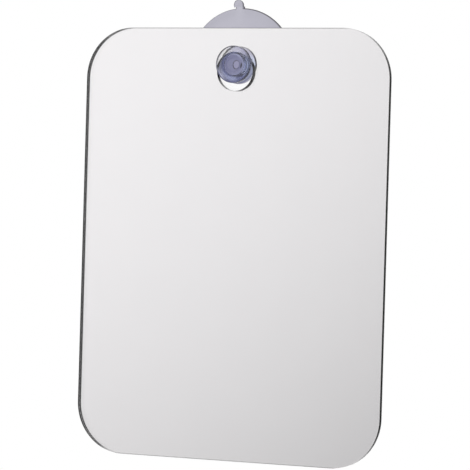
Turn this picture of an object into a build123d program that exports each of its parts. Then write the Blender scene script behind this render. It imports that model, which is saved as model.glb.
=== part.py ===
from build123d import *
import math
import os

# A fogless shower mirror: a clear sheet, silvered on its back, hung by its hole on a suction cup.
# Millimetres. The origin is the middle of the cup's mouth, on the wall's face.
# +Z is up, +Y goes into the wall and the viewer stands on the -Y side.

# Mirror panel
panel_width = 130.0
panel_height = 170.0
panel_corner_radius = 20.0
acrylic_thickness = 2.2
reflective_coat_thickness = 0.05
backing_coat_thickness = 0.1
antifog_film_thickness = 0.05
hole_edge_web = 9.45
edge_break = 0.15
film_setback = 0.3

# Suction cup as it is pressed flat on the wall
cup_radius = 22.5
rim_thickness = 0.9
seal_land_width = 4.0
cavity_depth = 1.2
bell_height = 4.0
pad_margin = 1.85
pit_mouth_radius = 2.0
pit_floor_radius = 1.7
pit_depth = 0.8
rim_sweep = 5.0
shoulder_sweep = 3.5
rim_rise = 1.6

# Neck and flat button head of the cup
neck_radius = 4.75
neck_waist_radius = 4.2
neck_fillet = 0.15
head_overhang = 2.6
head_thickness = 2.0
head_back_round = 0.3
head_front_round = 0.5
dish_mouth_radius = 3.4
dish_floor_radius = 2.5
dish_depth = 0.4
dish_round = 0.3

# Pull tab on the cup's rim
tab_width = 4.1
tab_length = 2.85
tab_shoulder = 0.8
tab_root_width = 3.65
tab_root_length = 0.5
tab_root_depth = 3.0
tab_root_shift = 0.62
tab_rake_degrees = 8.0
tab_turn_degrees = -4.0

# Fits
head_pass_clearance = 0.3
hang_clearance = 0.2
panel_back_clearance = 0.1
panel_front_clearance = 0.2
cut_overrun = 1.0

# Radii that must suit each other
head_radius = neck_radius + head_overhang
hole_radius = head_radius + head_pass_clearance
pad_radius = hole_radius + pad_margin

# Distances from the wall, all measured towards the viewer
panel_back = bell_height + panel_back_clearance
backing_front = panel_back + backing_coat_thickness
reflective_front = backing_front + reflective_coat_thickness
acrylic_front = reflective_front + acrylic_thickness
panel_front = acrylic_front + antifog_film_thickness
neck_end = panel_front + panel_front_clearance
head_front = neck_end + head_thickness
dish_floor = head_front - dish_depth
pit_floor = cavity_depth + pit_depth

# Heights. The hole's top hangs on the top of the neck.
hole_centre_height = neck_radius + hang_clearance - hole_radius
panel_top_height = hole_centre_height + hole_radius + hole_edge_web
panel_centre_height = panel_top_height - panel_height / 2
tab_root_height = cup_radius + tab_root_length


def panel_outline(setback):
    """The panel's face, a rounded rectangle with its hanging hole, drawn in from the cut edges."""
    plate = RectangleRounded(
        panel_width - 2 * setback,
        panel_height - 2 * setback,
        panel_corner_radius - setback,
    )
    hole = Circle(hole_radius + setback)
    return Pos(0, panel_centre_height) * plate - Pos(0, hole_centre_height) * hole


def panel_layer(back, thickness, setback):
    """One layer of the panel: its back lies this far from the wall."""
    return extrude(Plane.XZ.offset(back) * panel_outline(setback), amount=thickness)


def turned(*edges):
    """A solid of revolution about the cup's axis, from a closed half profile of radius and depth."""
    return revolve(make_face(Curve() + list(edges)), axis=Axis.Y)


def make_acrylic_sheet():
    """Clear acrylic, with the sharp front edges of its outline and hole just broken."""
    sheet = panel_layer(reflective_front, acrylic_thickness, 0)
    front_edges = sheet.faces().sort_by(Axis.Y)[0].edges()
    return chamfer(front_edges, edge_break)


def make_suction_bell():
    """The cup's disc: a sealing land on the wall, a shallow cavity with a small blind pit in its
    ceiling, and a flat pad for the neck."""
    land_inner = cup_radius - seal_land_width
    lip = cup_radius - rim_thickness / 2
    bell = turned(
        Polyline(
            (0, -pit_floor),
            (pit_floor_radius, -pit_floor),
            (pit_mouth_radius, -cavity_depth),
        ),
        TangentArc((pit_mouth_radius, -cavity_depth), (land_inner, 0), tangent=(1, 0)),
        Line((land_inner, 0), (lip, 0)),
        ThreePointArc((lip, 0), (cup_radius, -rim_thickness / 2), (lip, -rim_thickness)),
        Bezier(
            (lip, -rim_thickness),
            (lip - rim_sweep, -rim_thickness - rim_rise),
            (pad_radius + shoulder_sweep, -bell_height),
            (pad_radius, -bell_height),
        ),
        Line((pad_radius, -bell_height), (0, -bell_height)),
        Line((0, -bell_height), (0, -pit_floor)),
    )
    root_size = (tab_root_width, rim_thickness, tab_root_depth + tab_root_length)
    root = Box(*root_size, align=(Align.CENTER, Align.MAX, Align.MAX))
    return bell + Rot(0, tab_turn_degrees, 0) * Pos(tab_root_shift, 0, tab_root_height) * root


def make_cup_stem():
    """The neck that goes through the panel's hole, narrowing to a flat head with a dished front."""
    return turned(
        Line((0, -bell_height), (neck_radius, -bell_height)),
        FilletPolyline(
            (neck_radius, -bell_height),
            (neck_waist_radius, -neck_end),
            (head_radius, -neck_end),
            (head_radius, -head_front),
            (dish_mouth_radius, -head_front),
            (dish_floor_radius, -dish_floor),
            (0, -dish_floor),
            radius=[
                neck_fillet,
                head_back_round,
                head_front_round,
                dish_round,
                dish_round,
            ],
        ),
        Line((0, -dish_floor), (0, -bell_height)),
    )


def make_pull_tab():
    """A round-ended tongue on the rim's root, raked forward so that a finger gets behind it."""
    half_width = tab_width / 2
    left_shoulder = (-half_width, tab_shoulder)
    right_shoulder = (half_width, tab_shoulder)
    outline = make_face(
        Curve()
        + [
            Polyline(left_shoulder, (-half_width, 0), (half_width, 0), right_shoulder),
            ThreePointArc(right_shoulder, (0, tab_length), left_shoulder),
        ]
    )
    rise = tab_length * math.tan(math.radians(tab_rake_degrees))
    blank = extrude(Plane.XZ * outline, amount=rise + rim_thickness + cut_overrun)
    side = make_face(
        Polyline(
            (0, 0),
            (-rise, tab_length),
            (-rise - rim_thickness, tab_length),
            (-rim_thickness, 0),
            close=True,
        )
    )
    slab = extrude(Plane.YZ * side, amount=tab_width, both=True)
    return Rot(0, tab_turn_degrees, 0) * Pos(0, 0, tab_root_height) * (blank & slab)


parts = {
    "acrylic_sheet": make_acrylic_sheet(),
    "reflective_coat": panel_layer(backing_front, reflective_coat_thickness, 0),
    "backing_coat": panel_layer(panel_back, backing_coat_thickness, 0),
    "antifog_film": panel_layer(acrylic_front, antifog_film_thickness, film_setback),
    "suction_bell": make_suction_bell(),
    "cup_stem": make_cup_stem(),
    "pull_tab": make_pull_tab(),
}

os.makedirs("parts", exist_ok=True)
for name, solid in parts.items():
    export_step(solid, f"parts/{name}.step")

tab_pivot = Rot(0, tab_turn_degrees, 0) * Pos(0, -rim_thickness, tab_root_height)
tab_axis = Rot(0, tab_turn_degrees, 0) * Pos(1, 0, 0)
print("mirror turns about", (0, -panel_front, hole_centre_height))
print("tab bends about", tuple(tab_pivot.position), "along", tuple(tab_axis.position))
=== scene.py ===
import math

import bmesh
import bpy
from mathutils import Matrix, Vector


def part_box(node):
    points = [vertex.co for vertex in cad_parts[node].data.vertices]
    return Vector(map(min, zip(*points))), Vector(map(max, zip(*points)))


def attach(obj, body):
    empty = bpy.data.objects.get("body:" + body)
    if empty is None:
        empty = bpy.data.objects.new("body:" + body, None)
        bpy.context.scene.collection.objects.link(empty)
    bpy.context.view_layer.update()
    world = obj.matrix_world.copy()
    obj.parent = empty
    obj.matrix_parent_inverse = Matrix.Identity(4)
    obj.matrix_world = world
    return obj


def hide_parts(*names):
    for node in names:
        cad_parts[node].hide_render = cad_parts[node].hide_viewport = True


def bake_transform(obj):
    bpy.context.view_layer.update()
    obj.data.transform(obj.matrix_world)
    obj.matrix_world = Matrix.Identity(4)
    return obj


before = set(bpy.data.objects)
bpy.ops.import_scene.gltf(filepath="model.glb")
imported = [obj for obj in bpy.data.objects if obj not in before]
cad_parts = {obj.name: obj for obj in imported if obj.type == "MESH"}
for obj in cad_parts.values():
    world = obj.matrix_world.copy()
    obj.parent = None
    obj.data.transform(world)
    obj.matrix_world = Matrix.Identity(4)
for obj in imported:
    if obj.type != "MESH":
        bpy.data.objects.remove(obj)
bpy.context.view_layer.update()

# The studio floor: a plain pale sheet, at a shower mirror's height below the part.
# It is part of the set, not of the mirror.
FLOOR_DROP = 1.5
FLOOR_HALF_WIDTH = 1.5
FLOOR_COLOUR = (0.92, 0.92, 0.92, 1.0)
FLOOR_CREASE = 30


def new_material(name, **finish):
    """A node material, with these values on its Principled shader's own sockets."""
    made = bpy.data.materials.new(name)
    made.use_nodes = True
    shader = made.node_tree.nodes["Principled BSDF"]
    for socket, value in finish.items():
        shader.inputs[socket.replace("_", " ")].default_value = value
    return made


def finished_piece(name, shape, crease, *materials):
    """A finished mesh as an object at the origin, shaded smooth up to a crease angle in degrees."""
    mesh = bpy.data.meshes.new(name)
    shape.to_mesh(mesh)
    shape.free()
    for each in materials:
        mesh.materials.append(each)
    mesh.shade_smooth()
    mesh.set_sharp_from_angle(angle=math.radians(crease))
    piece = bpy.data.objects.new(name, mesh)
    bpy.context.scene.collection.objects.link(piece)
    return piece


pale_floor = new_material("pale_floor", Base_Color=FLOOR_COLOUR, Roughness=0.9)
shape = bmesh.new()
floor_place = Matrix.Translation((0, 0, -FLOOR_DROP))
bmesh.ops.create_grid(shape, x_segments=1, y_segments=1, size=FLOOR_HALF_WIDTH, matrix=floor_place)
finished_piece("studio_floor", shape, FLOOR_CREASE, pale_floor)

# The camera stands a little over a metre away, level with the middle of the panel and to the
# right of its face, and leans very slightly.
AIM = Vector((0.0018, -0.0057, -0.0668))
CAMERA_AZIMUTH = math.radians(24.2)
CAMERA_HEIGHT_ANGLE = math.radians(0.691)
CAMERA_LEAN = math.radians(1.667)
CAMERA_DISTANCE = 1.0973
LENS_MM = 214.3

camera = bpy.data.objects.new("camera", bpy.data.cameras.new("camera"))
camera.data.lens = LENS_MM
camera.data.clip_start = 0.01
back = Vector(
    (
        math.sin(CAMERA_AZIMUTH) * math.cos(CAMERA_HEIGHT_ANGLE),
        -math.cos(CAMERA_AZIMUTH) * math.cos(CAMERA_HEIGHT_ANGLE),
        math.sin(CAMERA_HEIGHT_ANGLE),
    )
)
turn = back.to_track_quat("Z", "Y").to_matrix().to_4x4() @ Matrix.Rotation(CAMERA_LEAN, 4, "Z")
camera.matrix_world = Matrix.Translation(AIM + back * CAMERA_DISTANCE) @ turn
bpy.context.scene.collection.objects.link(camera)
bpy.context.scene.camera = camera
bpy.context.scene.view_settings.view_transform = "Standard"

# The studio light: a white backdrop, softboxes on both sides and overhead, and fills in front and
# below. Each is a soft-edged disc in dim surroundings, at full level in its core and gone past its
# reach. Past the part, the camera sees plain white.
ROOM_LEVEL = 0.035
SOFTBOXES = {
    "backdrop": {"towards": (-0.242, 0.97, 0.05), "core": 25.0, "reach": 39.0, "level": 1.22},
    "back_right": {"towards": (0.90, 0.40, 0.1), "core": 10.0, "reach": 35.0, "level": 0.9},
    "left_softbox": {"towards": (-0.561, -0.807, 0.187), "core": 2.0, "reach": 31.3, "level": 1.23},
    "overhead": {"towards": (0.0, 0.0, 1.0), "core": 30.0, "reach": 70.0, "level": 1.0},
    "right_softbox": {"towards": (0.90, -0.30, 0.25), "core": 15.0, "reach": 38.0, "level": 0.8},
    "front_fill": {"towards": (-0.035, -0.99, 0.139), "core": 3.0, "reach": 18.0, "level": 0.8},
    "low_fill": {"towards": (-0.2, -0.55, -0.8), "core": 5.0, "reach": 35.0, "level": 0.6},
    "low_left": {"towards": (-0.875, -0.234, -0.423), "core": 10.0, "reach": 40.0, "level": 0.8},
    "low_right": {"towards": (0.75, -0.433, -0.5), "core": 8.0, "reach": 30.0, "level": 0.7},
}


def add_node(tree, kind, sockets, **settings):
    """Adds one node to a node tree. Each socket is given a value or another node's output."""
    node = tree.nodes.new(kind)
    for name, value in settings.items():
        setattr(node, name, value)
    for key, value in sockets.items():
        if isinstance(value, bpy.types.NodeSocket):
            tree.links.new(value, node.inputs[key])
        else:
            node.inputs[key].default_value = value
    return node


world = bpy.data.worlds.new("studio")
world.use_nodes = True
bpy.context.scene.world = world
sky = world.node_tree
look = add_node(sky, "ShaderNodeTexCoord", {}).outputs["Generated"]
light = ROOM_LEVEL
for each in SOFTBOXES.values():
    middle = Vector(each["towards"]).normalized()
    facing = add_node(sky, "ShaderNodeVectorMath", {0: look, 1: middle}, operation="DOT_PRODUCT")
    edge = {
        "Value": facing.outputs["Value"],
        "From Min": math.cos(math.radians(each["reach"])),
        "From Max": math.cos(math.radians(each["core"])),
    }
    share = add_node(sky, "ShaderNodeMapRange", edge, interpolation_type="SMOOTHSTEP")
    terms = {0: share.outputs["Result"], 1: each["level"], 2: light}
    light = add_node(sky, "ShaderNodeMath", terms, operation="MULTIPLY_ADD").outputs[0]
studio = add_node(sky, "ShaderNodeBackground", {"Strength": light})
white = add_node(sky, "ShaderNodeBackground", {"Color": (1, 1, 1, 1)})
seen = add_node(sky, "ShaderNodeLightPath", {}).outputs["Is Camera Ray"]
both = add_node(sky, "ShaderNodeMixShader", {0: seen, 1: studio.outputs[0], 2: white.outputs[0]})
sky.links.new(both.outputs[0], sky.nodes["World Output"].inputs["Surface"])

# The mirror sheet: clear cast acrylic, cut by laser to a rounded rectangle with one hanging hole.
# Its faces are polished and its cut edges glossy, with fine marks across them. It carries the coats.
CORNER_RADIUS = 0.020
CORNER_STEPS = 32
HOLE_RADIUS = 0.00765
HOLE_HEIGHT = -0.0027
HOLE_STEPS = 128
FRONT_EDGE_BREAK = 0.00005
BACK_EDGE_BREAK = 0.0001
COAT_CONTACT = 0.00001
FILM_GAP = 0.000005
SAME_DEPTH = 0.000001
POLISHED_NORMAL = 0.9
SHEET_CREASE = 12
CAST_TINT = (0.995, 0.992, 0.994, 1)
CAST_TINT_DEEP = (0.985, 0.984, 0.986, 1)
CAST_CLOUD_SCALE = (40, 40, 40)
CAST_RIPPLE_SCALE = (35, 35, 20)
CAST_RIPPLE_DEPTH = 0.00001
CUT_TINT = (0.95, 0.95, 0.955, 1)
CUT_STRIPE_SCALE = (3500, 60, 3500)
CUT_STRIPE_SPREAD = (0.3, 0.7)
CUT_STRIPE_DEPTH = 0.000002
CUT_ROUGHNESS = (0.01, 0.06)
HOLE_CUT_TINT = (0.68, 0.68, 0.70, 1)
HOLE_CUT_RING = (HOLE_RADIUS * 1.1, HOLE_RADIUS * 1.05)
UPRIGHT = Matrix.Rotation(math.radians(90), 4, "X")


def upright_plate(middle, width, height):
    """A new mesh of one rectangle that stands upright and square to the Y axis."""
    shape = bmesh.new()
    place = Matrix.Translation(middle) @ UPRIGHT @ Matrix.Diagonal((width, height, 1, 1))
    bmesh.ops.create_grid(shape, x_segments=1, y_segments=1, size=0.5, matrix=place)
    return shape


def bevelled(shape, parts, reach, kind, steps=1):
    """Cuts the corners off some VERTICES or EDGES of a mesh, or rounds them in several steps."""
    bmesh.ops.bevel(
        shape, geom=parts, offset=reach, affect=kind, segments=steps, profile=0.5, material=-1
    )


def drawn_out(shape, faces):
    """Extrudes faces, and gives the new points, which still lie where the old ones are."""
    grown = bmesh.ops.extrude_face_region(shape, geom=faces)
    return [each for each in grown["geom"] if isinstance(each, bmesh.types.BMVert)]


def place_on(made, stretch=(1, 1, 1)):
    """The place on the piece in metres, times a stretch along each axis."""
    place = add_node(made.node_tree, "ShaderNodeTexCoord", {}).outputs["Object"]
    sockets = {"Vector": place, "Scale": stretch}
    return add_node(made.node_tree, "ShaderNodeMapping", sockets).outputs["Vector"]


def distance_from(made, x, z):
    """How far a place is from a line along the Y axis that passes through this X and Z."""
    sockets = {0: place_on(made, (1, 0, 1)), 1: (x, 0, z)}
    measure = add_node(made.node_tree, "ShaderNodeVectorMath", sockets, operation="DISTANCE")
    return measure.outputs["Value"]


def noise(made, stretch, detail):
    """A noise over the piece, of one cycle for each unit of the stretched place."""
    sockets = {"Vector": place_on(made, stretch), "Scale": 1.0, "Detail": detail}
    return add_node(made.node_tree, "ShaderNodeTexNoise", sockets).outputs["Fac"]


def ranged(made, value, start, end, start_result=0.0, end_result=1.0):
    """Maps a value from one range to another, held at both ends."""
    sockets = {
        "Value": value,
        "From Min": start,
        "From Max": end,
        "To Min": start_result,
        "To Max": end_result,
    }
    return add_node(made.node_tree, "ShaderNodeMapRange", sockets).outputs["Result"]


def mixed(made, share, first, second):
    """A colour between two others."""
    sockets = {0: share, 6: first, 7: second}
    return add_node(made.node_tree, "ShaderNodeMix", sockets, data_type="RGBA").outputs[2]


def feed(made, socket, pattern):
    """Links a pattern to a socket of the material's shader."""
    made.node_tree.links.new(pattern, made.node_tree.nodes["Principled BSDF"].inputs[socket])


def lay_relief(made, *layers):
    """Lays one relief pattern on another. Each layer is a height pattern and its depth in metres."""
    normal = None
    for pattern, depth in layers:
        sockets = {"Height": pattern, "Distance": depth, "Strength": 1.0}
        if normal:
            sockets["Normal"] = normal
        normal = add_node(made.node_tree, "ShaderNodeBump", sockets).outputs["Normal"]
    feed(made, "Normal", normal)


# The sheet runs a hair into the coat behind it and stops a hair behind the film, so that no two
# faces lie in one place.
sheet_low, sheet_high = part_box("acrylic_sheet")
sheet_front = sheet_low.y + FILM_GAP
sheet_back = sheet_high.y + COAT_CONTACT
middle = ((sheet_low.x + sheet_high.x) / 2, sheet_front, (sheet_low.z + sheet_high.z) / 2)
shape = upright_plate(middle, sheet_high.x - sheet_low.x, sheet_high.z - sheet_low.z)
bevelled(shape, shape.verts[:], CORNER_RADIUS, "VERTICES", CORNER_STEPS)
bmesh.ops.delete(shape, geom=shape.faces[:], context="FACES_ONLY")
hole_place = Matrix.Translation((0, sheet_front, HOLE_HEIGHT)) @ UPRIGHT
bmesh.ops.create_circle(shape, segments=HOLE_STEPS, radius=HOLE_RADIUS, matrix=hole_place)
bmesh.ops.triangle_fill(shape, edges=shape.edges[:], use_beauty=True, normal=(0, -1, 0))
bmesh.ops.recalc_face_normals(shape, faces=shape.faces[:])
moved = drawn_out(shape, shape.faces[:])
bmesh.ops.translate(shape, verts=moved, vec=(0, sheet_back - sheet_front, 0))
bmesh.ops.recalc_face_normals(shape, faces=shape.faces[:])
for depth, reach in ((sheet_front, FRONT_EDGE_BREAK), (sheet_back, BACK_EDGE_BREAK)):
    sharp_rim = [
        edge
        for edge in shape.edges
        if all(abs(vert.co.y - depth) < SAME_DEPTH for vert in edge.verts)
        and any(abs(face.normal.y) < POLISHED_NORMAL for face in edge.link_faces)
    ]
    bevelled(shape, sharp_rim, reach, "EDGES")
for face in shape.faces:
    face.material_index = int(abs(face.normal.y) < POLISHED_NORMAL)

clear_acrylic = new_material("clear_acrylic", Transmission_Weight=1.0, IOR=1.49, Roughness=0.0)
cloud = noise(clear_acrylic, CAST_CLOUD_SCALE, detail=3.0)
feed(clear_acrylic, "Base Color", mixed(clear_acrylic, cloud, CAST_TINT, CAST_TINT_DEEP))
lay_relief(clear_acrylic, (noise(clear_acrylic, CAST_RIPPLE_SCALE, detail=1.0), CAST_RIPPLE_DEPTH))

# The laser leaves fine stripes across the cut edge, from face to face. The hole's wall is greyer.
cut_acrylic = new_material("laser_cut_acrylic", Transmission_Weight=1.0, IOR=1.35)
stripes = noise(cut_acrylic, CUT_STRIPE_SCALE, detail=2.0)
cut = mixed(cut_acrylic, stripes, CUT_TINT, CAST_TINT)
at_hole = ranged(cut_acrylic, distance_from(cut_acrylic, 0, HOLE_HEIGHT), *HOLE_CUT_RING)
feed(cut_acrylic, "Base Color", mixed(cut_acrylic, at_hole, cut, HOLE_CUT_TINT))
feed(cut_acrylic, "Roughness", ranged(cut_acrylic, stripes, *CUT_STRIPE_SPREAD, *CUT_ROUGHNESS))
lay_relief(cut_acrylic, (stripes, CUT_STRIPE_DEPTH))
sheet = finished_piece("clear_sheet", shape, SHEET_CREASE, clear_acrylic, cut_acrylic)
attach(sheet, "mirror")
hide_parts("acrylic_sheet")

# The reflective coat: bright aluminium, laid on the back of the clear sheet in a vacuum. It is what
# makes the mirror, seen through the sheet. Its thickness varies a little, and it follows the sheet.
COAT_BRIGHT = (0.945, 0.935, 0.94, 1)
COAT_THIN = (0.93, 0.92, 0.925, 1)
COAT_DRIFT_SCALE = (60, 60, 60)
COAT_WAVE_SCALE = (38, 38, 38)
COAT_WAVE_DEPTH = 0.000002


def refinish(node, finish):
    """Gives a CAD node a new material."""
    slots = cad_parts[node].data.materials
    slots.clear()
    slots.append(finish)


mirror_coat = new_material("bright_aluminium", Metallic=1.0, Roughness=0.0)
drift = noise(mirror_coat, COAT_DRIFT_SCALE, detail=4.0)
feed(mirror_coat, "Base Color", mixed(mirror_coat, drift, COAT_BRIGHT, COAT_THIN))
lay_relief(mirror_coat, (noise(mirror_coat, COAT_WAVE_SCALE, detail=0.0), COAT_WAVE_DEPTH))
refinish("reflective_coat", mirror_coat)

# The back paint: a matt grey coat, sprayed over the metal to protect it. It has the spray's orange
# peel, a mottle, fine dust in it and a few pale scuffs from the wall.
PAINT_COLOUR = (0.30, 0.31, 0.325, 1)
PAINT_ROUGHNESS = (0.50, 0.66)
MOTTLE_COLOUR = (0.35, 0.36, 0.37, 1)
MOTTLE_SCALE = (70, 70, 70)
MOTTLE_SPREAD = (0.35, 0.65)
DUST_COLOUR = (0.17, 0.175, 0.185, 1)
DUST_SCALE = (2800, 2800, 2800)
DUST_SPREAD = (0.70, 0.76)
DUST_STRENGTH = 0.8
SCUFF_COLOUR = (0.50, 0.51, 0.52, 1)
SCUFF_SCALE = (1500, 1500, 35)
SCUFF_SPREAD = (0.70, 0.82)
SCUFF_STRENGTH = 0.7
SCUFF_DEPTH = 0.000006
ORANGE_PEEL_SCALE = (700, 700, 700)
ORANGE_PEEL_DEPTH = 0.00003

back_paint = new_material("grey_back_paint", Specular_IOR_Level=0.4)
mottle = noise(back_paint, MOTTLE_SCALE, detail=3.0)
mottle = ranged(back_paint, mottle, *MOTTLE_SPREAD)
dust = noise(back_paint, DUST_SCALE, detail=0.0)
dust = ranged(back_paint, dust, *DUST_SPREAD, 0.0, DUST_STRENGTH)
scuffs = noise(back_paint, SCUFF_SCALE, detail=1.0)
scuffs = ranged(back_paint, scuffs, *SCUFF_SPREAD, 0.0, SCUFF_STRENGTH)
paint = mixed(back_paint, mottle, PAINT_COLOUR, MOTTLE_COLOUR)
paint = mixed(back_paint, dust, paint, DUST_COLOUR)
feed(back_paint, "Base Color", mixed(back_paint, scuffs, paint, SCUFF_COLOUR))
feed(back_paint, "Roughness", ranged(back_paint, mottle, 0.0, 1.0, *PAINT_ROUGHNESS))
peel = noise(back_paint, ORANGE_PEEL_SCALE, detail=1.0)
lay_relief(back_paint, (peel, ORANGE_PEEL_DEPTH), (scuffs, SCUFF_DEPTH))
refinish("backing_coat", back_paint)

# The anti-fog film: a thin clear skin on the front that water wets, so that no mist forms on it. It
# is wiped on in vertical strokes, which leave streaks too faint to see but in a glancing light.
FILM_CLEAR = (1.0, 0.998, 1.0, 1)
FILM_STREAK = (0.992, 0.99, 0.993, 1)
FILM_STREAK_SCALE = (400, 400, 12)
FILM_STREAK_DEPTH = 0.0000008

clear_film = new_material("antifog_film", Transmission_Weight=1.0, IOR=1.15, Roughness=0.0)
streaks = noise(clear_film, FILM_STREAK_SCALE, detail=3.0)
feed(clear_film, "Base Color", mixed(clear_film, streaks, FILM_CLEAR, FILM_STREAK))
lay_relief(clear_film, (streaks, FILM_STREAK_DEPTH))
refinish("antifog_film", clear_film)

# The suction cup: one soft moulding of clear vinyl with a lilac-blue cast. A thin bell sticks to the
# wall, and a neck with a flat, dished head comes forward through the panel's hole to carry it.
CUP_RADIUS = 0.0225
RIM_THICKNESS = 0.0009
LAND_INNER_RADIUS = 0.0185
CAVITY_DEPTH = 0.0012
CAVITY_BEND_RADIUS = 0.01025
CAVITY_BEND = 0.0080
SHOULDER_RADIUS = 0.0126
SHOULDER_ROUND = 0.003
PAD_RADIUS = 0.0095
PIT_MOUTH_RADIUS = 0.0020
PIT_FLOOR_RADIUS = 0.0017
PIT_FLOOR_DEPTH = 0.0020
PIT_ROUND = 0.0002
BELL_HEIGHT = 0.004
NECK_RADIUS = 0.00475
NECK_WAIST_RADIUS = 0.0042
NECK_ROOT_ROUND = 0.00035
NECK_END = 0.0067
NECK_FILLET = 0.00015
HEAD_RADIUS = 0.00735
HEAD_FRONT = 0.0087
HEAD_BACK_ROUND = 0.0003
HEAD_FRONT_ROUND = 0.0005
DISH_MOUTH_RADIUS = 0.0034
DISH_FLOOR_RADIUS = 0.0025
DISH_FLOOR_HEIGHT = 0.0083
DISH_ROUND = 0.0003
PROFILE_STEPS = 8
TURNING_STEPS = 160
SAME_POINT = 1e-7
TAB_TURN = math.radians(-4.0)
TAB_BASE_TURN = math.radians(-2.44)
TAB_BASE_SEGMENTS = 4
TAB_BASE_HEIGHT = 0.023
VINYL_CREASE = 32

# Each corner of the half profile: radius, distance from the wall, and how far its rounding reaches
cup_corners = (
    (0, PIT_FLOOR_DEPTH, 0),
    (PIT_FLOOR_RADIUS, PIT_FLOOR_DEPTH, PIT_ROUND),
    (PIT_MOUTH_RADIUS, CAVITY_DEPTH, PIT_ROUND),
    (CAVITY_BEND_RADIUS, CAVITY_DEPTH, CAVITY_BEND),
    (LAND_INNER_RADIUS, 0, 0),
    (CUP_RADIUS, 0, RIM_THICKNESS / 2),
    (CUP_RADIUS, RIM_THICKNESS, RIM_THICKNESS / 2),
    (SHOULDER_RADIUS, BELL_HEIGHT, SHOULDER_ROUND),
    (PAD_RADIUS, BELL_HEIGHT, 0),
    (NECK_RADIUS, BELL_HEIGHT, NECK_ROOT_ROUND),
    (NECK_WAIST_RADIUS, NECK_END, NECK_FILLET),
    (HEAD_RADIUS, NECK_END, HEAD_BACK_ROUND),
    (HEAD_RADIUS, HEAD_FRONT, HEAD_FRONT_ROUND),
    (DISH_MOUTH_RADIUS, HEAD_FRONT, DISH_ROUND),
    (DISH_FLOOR_RADIUS, DISH_FLOOR_HEIGHT, DISH_ROUND),
    (0, DISH_FLOOR_HEIGHT, 0),
)
shape = bmesh.new()
corners = [shape.verts.new((radius, -away, 0)) for radius, away, _ in cup_corners]
for first, second in zip(corners, corners[1:]):
    shape.edges.new((first, second))
for corner, (_, _, reach) in zip(corners, cup_corners):
    if reach:
        bevelled(shape, [corner], reach, "VERTICES", PROFILE_STEPS)
bmesh.ops.remove_doubles(shape, verts=shape.verts[:], dist=SAME_POINT)
bmesh.ops.spin(
    shape,
    geom=shape.verts[:] + shape.edges[:],
    cent=(0, 0, 0),
    axis=(0, 1, 0),
    angle=math.radians(360),
    steps=TURNING_STEPS,
    use_merge=True,
)
bmesh.ops.remove_doubles(shape, verts=shape.verts[:], dist=SAME_POINT)
bmesh.ops.recalc_face_normals(shape, faces=shape.faces[:])
base_turn = Matrix.Rotation(TAB_BASE_TURN, 3, "Y")
bmesh.ops.rotate(shape, verts=shape.verts[:], cent=(0, 0, 0), matrix=base_turn)

# The root of the pull tab is drawn out of the rim's rounded lip.
tab_way = Matrix.Rotation(TAB_TURN, 3, "Y") @ Vector((0, 0, 1))
base_way = base_turn @ Vector((0, 0, 1))
half_angle = math.radians(360 / TURNING_STEPS * TAB_BASE_SEGMENTS / 2)
lip_faces = []
for face in shape.faces:
    centre = face.calc_center_median()
    outwards = Vector((centre.x, 0, centre.z))
    if outwards.length > CUP_RADIUS - RIM_THICKNESS / 2 and outwards.angle(base_way) < half_angle:
        lip_faces.append(face)
moved = drawn_out(shape, lip_faces)
bmesh.ops.delete(shape, geom=lip_faces, context="FACES")
for vert in moved:
    vert.co += base_way * (TAB_BASE_HEIGHT - vert.co.dot(tab_way)) / base_way.dot(tab_way)
bmesh.ops.recalc_face_normals(shape, faces=shape.faces[:])

# The vinyl's cast is deep down the neck's length and in the thick hub behind it. It is light
# in the bell and the head, and nearly clear in the pad round the hub. Over the cast lie painted
# shade on the right of the cup's rim, on the head's left and lower rims, in a spot on its lower
# right and in a ring on the hub round its edge; painted light on the top of the neck's end; and
# painted reflection on the head's right edge and where it laps over the mirror, with painted
# shade on that part's upper-left edge.
BELL_TINT = (0.505, 0.498, 0.568, 1)
BELL_TINT_CLOUD = (0.475, 0.468, 0.542, 1)
# Painted shade: the cup's rim and the tab's edge are darkened on their right side only.
RIM_PAINTED_SHADE = (0.12, 0.11, 0.14, 1)
PAD_TINT = (0.985, 0.985, 0.99, 1)
HUB_TINT = (0.29, 0.31, 0.43, 1)
# Painted shade: a dark ring on the hub just round the head's edge.
HUB_EDGE_PAINTED_SHADE = (0.13, 0.13, 0.20, 1)
PIT_TINT = (0.55, 0.55, 0.68, 1)
CORE_TINT = (0.155, 0.15, 0.275, 1)
NECK_TINT = (0.17, 0.175, 0.32, 1)
# Painted light: the upper part of the neck's end, seen through the dish, is lighter.
NECK_TOP_PAINTED_LIGHT = (0.36, 0.37, 0.58, 1)
HEAD_TINT = (0.82, 0.84, 0.99, 1)
# Painted shade on the head's left edge, and painted reflection on its right edge.
HEAD_LEFT_PAINTED_SHADE = (0.31, 0.32, 0.43, 1)
HEAD_RIGHT_PAINTED_REFLECTION = (0.74, 0.80, 1.0, 1)
# Painted shade on the head's lower rim.
HEAD_RIM_PAINTED_SHADE = (0.40, 0.41, 0.57, 1)
# Painted shade: a dark spot on the head's lower right.
SPOT_PAINTED_SHADE = (0.42, 0.43, 0.60, 1)
# Painted reflection on the head where it laps over the mirror: clear on the left and greyer to the
# right, with painted shade on its upper-left edge.
LAP_PAINTED_REFLECTION = (0.84, 0.84, 0.93, 1)
LAP_RIGHT_PAINTED_REFLECTION = (0.64, 0.64, 0.77, 1)
LAP_EDGE_PAINTED_SHADE = (0.40, 0.40, 0.46, 1)

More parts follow.
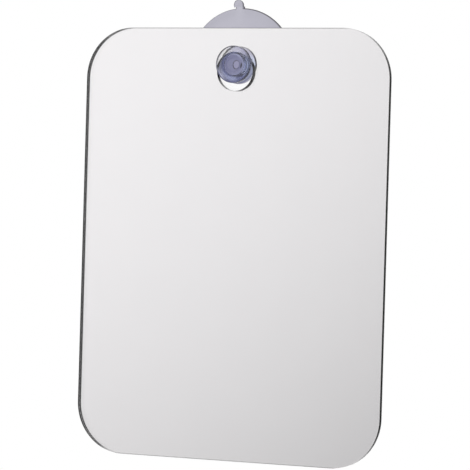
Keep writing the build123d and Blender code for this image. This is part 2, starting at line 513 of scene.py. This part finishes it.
# A tint's zone fades in from its first value to its second, in metres. A ring is measured out from
# the cup's axis, a side to the right of it, a height up from it, and a depth into the wall, so that
# it is below 0 in front of it. Zones on one side, at the top or at the bottom only are painted
# reflection and painted shade, which stand in for what the vinyl mirrors there.
RIM_RING = (CUP_RADIUS - 0.0006, CUP_RADIUS - 0.0003)
RIM_SIDE = (-0.0003, 0.0006)
BELL_RING = (PAD_RADIUS + 0.001, SHOULDER_RADIUS)
HUB_RING = (0.0076, 0.0073)
HUB_EDGE_RING = (0.0068, 0.0071)
PIT_RING = (PIT_MOUTH_RADIUS, PIT_FLOOR_RADIUS)
FRONT_DEPTH = (-BELL_HEIGHT - 0.0002, -BELL_HEIGHT - 0.0008)
FACE_DEPTH = (-HEAD_FRONT + 0.0012, -HEAD_FRONT + 0.0006)
NECK_RING = (NECK_RADIUS + 0.0003, NECK_RADIUS - 0.0001)
NECK_LIGHT_HEIGHT = (0.0018, 0.0036)
CORE_RING = (NECK_WAIST_RADIUS, NECK_WAIST_RADIUS - 0.0005)
HEAD_LEFT_SIDE = (-0.0046, -0.0056)
HEAD_RIGHT_SIDE = (0.0036, 0.0048)
HEAD_RIM_HEIGHT = (-0.0028, -0.0045)
HEAD_RIM_RING = (0.0060, 0.0067)
LAP_SIDE = (-0.0032, -0.0018)
LAP_RIGHT_SIDE = (0.0016, 0.0042)
LAP_EDGE_HEIGHT = (-0.001, 0.0005)
LAP_EDGE_SIDE = (0.001, -0.001)
LAP_EDGE_RING = (HEAD_RADIUS - 0.0005, HEAD_RADIUS - 0.0003)

# The spot of painted shade on the head's lower right, and the edge past which the head laps over
# the panel, are measured from centres of their own.
SHADE_SPOT_CENTRE = (0.0029, -0.0052)
SHADE_SPOT_REACH = (0.0024, 0.00096)
LAP_CENTRE = (0.0008, HOLE_HEIGHT)
LAP_REACH = (HOLE_RADIUS - 0.0003, HOLE_RADIUS + 0.0003)

# The skin is glossy, duller in the pit, on the neck and on the worn right edge of the head, with a
# faint cloud all over and the fine rings that the turned mould left.
SKIN_CLOUD_SCALE = (300, 300, 120)
SKIN_CLOUD_SPREAD = (0.3, 0.7)
SKIN_CLOUD_DEPTH = 0.000008
BELL_ROUGHNESS = 0.03
BELL_CLOUD_ROUGHNESS = 0.07
PIT_ROUGHNESS = 0.3
PIT_SKIN_RING = (PIT_MOUTH_RADIUS, PIT_MOUTH_RADIUS + 0.0004)
HEAD_ROUGHNESS = 0.08
HEAD_CLOUD_ROUGHNESS = 0.12
NECK_ROUGHNESS = 0.32
NECK_SKIN_RING = (NECK_RADIUS, NECK_RADIUS + 0.0004)
NECK_SKIN_DEPTH = (-NECK_END - 0.0003, -NECK_END)
WORN_ROUGHNESS = 0.35
WORN_RING = (0.0064, 0.0068)
WORN_SIDE = (0.004, 0.005)
MOULD_RING_SCALE = 600.0
MOULD_RING_DEPTH = 0.000003


def tinted(colour, *zones):
    """Lays tinted zones over a vinyl colour. A zone is a tint and one or more fades, and shows where
    they all meet. A fade is what is measured, where the tint begins and where it is full."""
    for tint, *fades in zones:
        share = 1.0
        for measure, begins, full in fades:
            share = ranged(clear_vinyl, measure, begins, full, 0.0, share)
        colour = mixed(clear_vinyl, share, colour, tint)
    return colour


clear_vinyl = new_material("clear_soft_vinyl", Transmission_Weight=1.0, IOR=1.53)
place = place_on(clear_vinyl)
side, depth, height = add_node(clear_vinyl.node_tree, "ShaderNodeSeparateXYZ", {0: place}).outputs
ring = distance_from(clear_vinyl, 0, 0)
from_shade_spot = distance_from(clear_vinyl, *SHADE_SPOT_CENTRE)
from_lap = distance_from(clear_vinyl, *LAP_CENTRE)
cloud = noise(clear_vinyl, SKIN_CLOUD_SCALE, detail=3.0)

bell = mixed(clear_vinyl, cloud, BELL_TINT, BELL_TINT_CLOUD)
# The rim's right side gets painted shade.
bell = tinted(bell, (RIM_PAINTED_SHADE, (ring, *RIM_RING), (side, *RIM_SIDE)))
# The hub's edge gets a ring of painted shade.
hub = tinted(HUB_TINT, (HUB_EDGE_PAINTED_SHADE, (ring, *HUB_EDGE_RING)))
wall_side = tinted(
    PAD_TINT,
    (bell, (ring, *BELL_RING)),
    (hub, (ring, *HUB_RING)),
    (PIT_TINT, (ring, *PIT_RING)),
)
# The head gets painted shade on its left edge, painted reflection on its right edge and a spot of
# painted shade on its lower right.
head = tinted(
    HEAD_TINT,
    (HEAD_LEFT_PAINTED_SHADE, (side, *HEAD_LEFT_SIDE)),
    (HEAD_RIGHT_PAINTED_REFLECTION, (side, *HEAD_RIGHT_SIDE)),
    (SPOT_PAINTED_SHADE, (from_shade_spot, *SHADE_SPOT_REACH)),
)
# Where the head laps over the mirror, painted reflection and painted shade are laid on it.
lap_reflection = tinted(
    PAD_TINT,
    (LAP_PAINTED_REFLECTION, (side, *LAP_SIDE)),
    (LAP_RIGHT_PAINTED_REFLECTION, (side, *LAP_RIGHT_SIDE)),
    (LAP_EDGE_PAINTED_SHADE, (height, *LAP_EDGE_HEIGHT), (side, *LAP_EDGE_SIDE), (ring, *LAP_EDGE_RING)),
)
# The top of the neck's end gets painted light.
neck = tinted(NECK_TINT, (NECK_TOP_PAINTED_LIGHT, (height, *NECK_LIGHT_HEIGHT)))
# The head's lower rim gets painted shade here.
front_side = tinted(
    head,
    (lap_reflection, (from_lap, *LAP_REACH)),
    (HEAD_RIM_PAINTED_SHADE, (height, *HEAD_RIM_HEIGHT), (ring, *HEAD_RIM_RING)),
    (neck, (depth, *FACE_DEPTH), (ring, *NECK_RING)),
    (CORE_TINT, (depth, *FACE_DEPTH), (ring, *CORE_RING)),
)
feed(clear_vinyl, "Base Color", tinted(wall_side, (front_side, (depth, *FRONT_DEPTH))))

pit_skin = ranged(clear_vinyl, ring, *PIT_SKIN_RING, PIT_ROUGHNESS, BELL_ROUGHNESS)
wall_skin = ranged(clear_vinyl, cloud, *SKIN_CLOUD_SPREAD, pit_skin, BELL_CLOUD_ROUGHNESS)
neck_skin = ranged(clear_vinyl, ring, *NECK_SKIN_RING, NECK_ROUGHNESS, HEAD_ROUGHNESS)
head_skin = ranged(clear_vinyl, depth, *NECK_SKIN_DEPTH, HEAD_ROUGHNESS, neck_skin)
worn_edge = ranged(clear_vinyl, ring, *WORN_RING, head_skin, WORN_ROUGHNESS)
worn_skin = ranged(clear_vinyl, side, *WORN_SIDE, head_skin, worn_edge)
front_skin = ranged(clear_vinyl, cloud, *SKIN_CLOUD_SPREAD, worn_skin, HEAD_CLOUD_ROUGHNESS)
feed(clear_vinyl, "Roughness", ranged(clear_vinyl, depth, *FRONT_DEPTH, wall_skin, front_skin))

mould_rings = add_node(
    clear_vinyl.node_tree,
    "ShaderNodeTexWave",
    {"Vector": place, "Scale": MOULD_RING_SCALE, "Distortion": 0.4, "Detail": 1.0},
    wave_type="RINGS",
    rings_direction="Y",
).outputs["Fac"]
lay_relief(clear_vinyl, (cloud, SKIN_CLOUD_DEPTH), (mould_rings, MOULD_RING_DEPTH))
cup = finished_piece("suction_cup", shape, VINYL_CREASE, clear_vinyl)
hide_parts("suction_bell", "cup_stem")
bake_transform(cup)

# The pull tab: a round-ended tongue of the same vinyl, which goes on from the rim and leans a little
# forward, so that a finger gets behind it to let the air in. It bends at its root.
TAB_WIDTH = 0.0041
TAB_LENGTH = 0.00285
TAB_END_ROUND = 0.00204
TAB_END_STEPS = 12
TAB_RAKE = math.radians(8)
TAB_EDGE_ROUND = 0.0002
TAB_EDGE_STEPS = 3
TAB_SHARP_ANGLE = math.radians(60)
TAB_SEAM = 0.00001
TAB_STRIPS = 10

base = TAB_BASE_HEIGHT + TAB_SEAM
top = TAB_BASE_HEIGHT + TAB_LENGTH
shape = upright_plate((0, 0, (base + top) / 2), TAB_WIDTH, top - base)
tip = [vert for vert in shape.verts if vert.co.z > (base + top) / 2]
bevelled(shape, tip, TAB_END_ROUND, "VERTICES", TAB_END_STEPS)
for strip in range(1, TAB_STRIPS):
    cut = (0, 0, TAB_BASE_HEIGHT + TAB_LENGTH * strip / TAB_STRIPS)
    everything = shape.verts[:] + shape.edges[:] + shape.faces[:]
    bmesh.ops.bisect_plane(shape, geom=everything, dist=SAME_POINT, plane_co=cut, plane_no=(0, 0, 1))
moved = drawn_out(shape, shape.faces[:])
bmesh.ops.translate(shape, verts=moved, vec=(0, -RIM_THICKNESS, 0))
bmesh.ops.recalc_face_normals(shape, faces=shape.faces[:])
long_edges = [
    edge
    for edge in shape.edges
    if len(edge.link_faces) == 2
    and edge.calc_face_angle() > TAB_SHARP_ANGLE
    and max(vert.co.z for vert in edge.verts) > base + TAB_SEAM
    and abs(edge.verts[0].co.y - edge.verts[1].co.y) < TAB_SEAM
]
bevelled(shape, long_edges, TAB_EDGE_ROUND, "EDGES", TAB_EDGE_STEPS)
rake = Matrix.Identity(4)
rake[1][2] = -math.tan(TAB_RAKE)
hinge = Matrix.Translation((0, 0, TAB_BASE_HEIGHT))
turned = Matrix.Rotation(TAB_TURN, 4, "Y") @ hinge @ rake @ hinge.inverted()
bmesh.ops.transform(shape, matrix=turned, verts=shape.verts[:])
tab = finished_piece("pull_tab_tongue", shape, VINYL_CREASE, clear_vinyl)
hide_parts("pull_tab")
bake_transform(tab)
